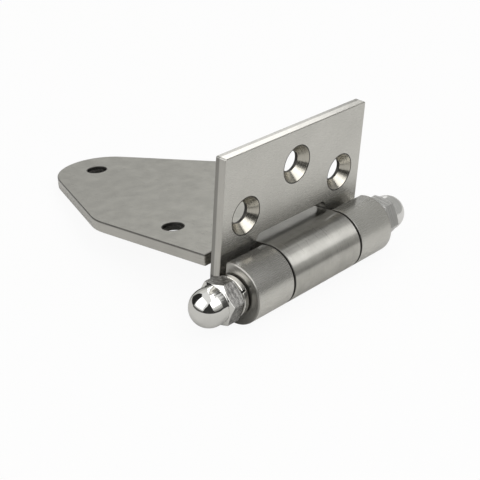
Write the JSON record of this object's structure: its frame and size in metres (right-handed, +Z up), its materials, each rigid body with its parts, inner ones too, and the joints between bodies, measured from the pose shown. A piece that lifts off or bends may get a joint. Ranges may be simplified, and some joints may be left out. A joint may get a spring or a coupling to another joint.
{
  "type": "notched leaf hinge",
  "caption": "Heavy steel leaf hinge: a short notched leaf and a long tongue-shaped leaf turn on a pin held by spring washers and domed cap nuts.",
  "frame": {"origin": "on the surface that the hinge lies on, under the middle of its box", "axes": "+X along the pin, away from the near cap nut; +Y from the pin towards the long leaf's tip; +Z up, along the short leaf"},
  "size_m": [0.1328, 0.1574, 0.068],
  "materials": {
    "leaf_steel": "satin, brushed along the pin",
    "pin_steel": "turned",
    "washer_steel": "bright",
    "nut_steel": "polished"
  },
  "bodies": {
    "long_leaf_side": {"long_leaf": "leaf_steel"},
    "short_leaf_side": {"short_leaf": "leaf_steel", "hinge_pin": "pin_steel", "near_spring_washer": "washer_steel", "far_spring_washer": "washer_steel", "near_cap_nut": "nut_steel", "far_cap_nut": "nut_steel"}
  },
  "joints": [
    {"name": "leaf_turn", "type": "hinge", "parent": "long_leaf_side", "child": "short_leaf_side", "pos_m": [0, -0.06566, 0.01305], "axis": [1, 0, 0], "range_deg": [-10, 277]}
  ]
}
